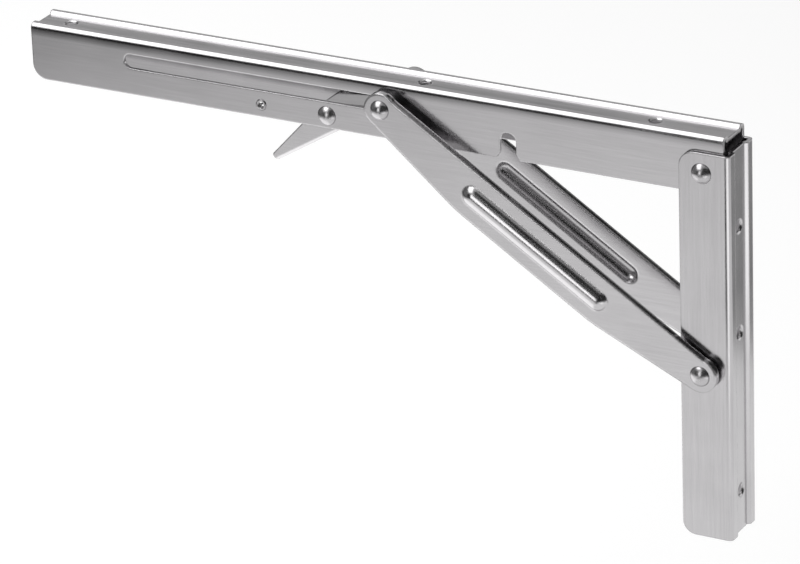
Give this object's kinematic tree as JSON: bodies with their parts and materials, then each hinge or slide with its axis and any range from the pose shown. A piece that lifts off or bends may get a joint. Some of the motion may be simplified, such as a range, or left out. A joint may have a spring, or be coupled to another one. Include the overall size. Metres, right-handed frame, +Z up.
{
  "type": "folding table leg",
  "caption": "Wall-mounted folding table leg: a table channel and a wall channel hinged together, braced by two ribbed strut plates, with a sprung release lever.",
  "frame": {"origin": "halfway between the two outer wall screws, in the middle of the sheet they go through and of the channel's width; the wall plane lies at X = 2.05 mm", "axes": "+X from the leg into the wall, +Z up, Y across the leg; the table channel points away from the wall along -X"},
  "size_m": [0.3055, 0.036, 0.1659],
  "materials": {
    "channel_steel": "polished sheet",
    "strut_steel": "polished sheet",
    "rivet_steel": "polished heads",
    "washer_steel": "plain turned",
    "lever_steel": "polished sheet",
    "spring_steel": "drawn wire"
  },
  "bodies": {
    "wall": {"wall_channel": "channel_steel", "wall_pivot_rivet": "rivet_steel", "strut_pivot_rivet": "rivet_steel", "strut_washer_near": "washer_steel", "strut_washer_far": "washer_steel"},
    "table_arm": {"table_channel": "channel_steel", "wall_pivot_sleeve": "washer_steel", "lever_rivet": "rivet_steel", "lever_washer_near": "washer_steel", "lever_washer_far": "washer_steel", "lever_spring": "spring_steel", "spring_anchor": "rivet_steel"},
    "slider": {"slide_pin": "rivet_steel", "slide_sleeve": "washer_steel", "slide_bush_near": "washer_steel", "slide_bush_far": "washer_steel"},
    "strut": {"strut_plate_near": "strut_steel", "strut_plate_far": "strut_steel", "pin_head_near": "rivet_steel", "pin_head_far": "rivet_steel"},
    "lever": {"release_lever": "lever_steel"}
  },
  "joints": [
    {"name": "fold", "type": "hinge", "parent": "wall", "child": "table_arm", "pos_m": [-0.00955, 0, 0.079], "axis": [0, -1, 0], "range_deg": [0, 90]},
    {"name": "strut_swing", "type": "hinge", "parent": "wall", "child": "strut", "pos_m": [-0.00905, 0, -0.0025], "axis": [0, -1, 0], "range_deg": [0, 121]},
    {"name": "pin_slide", "type": "slide", "parent": "table_arm", "child": "slider", "axis": [-1, 0, 0], "range_m": [0, 0.1079]},
    {"name": "lever", "type": "hinge", "parent": "table_arm", "child": "lever", "pos_m": [-0.17015, 0, 0.0757], "axis": [0, 1, 0], "range_deg": [-6, 19], "stiffness_Nm_per_rad": 0.15, "springref_deg": 0.57, "deforming": ["lever_spring"]}
  ],
  "couplings": [
    {"joint": "strut_swing", "follows": "fold", "ratio": 1.3419},
    {"joint": "pin_slide", "follows": "fold", "m_per_rad": 0.068494}
  ]
}
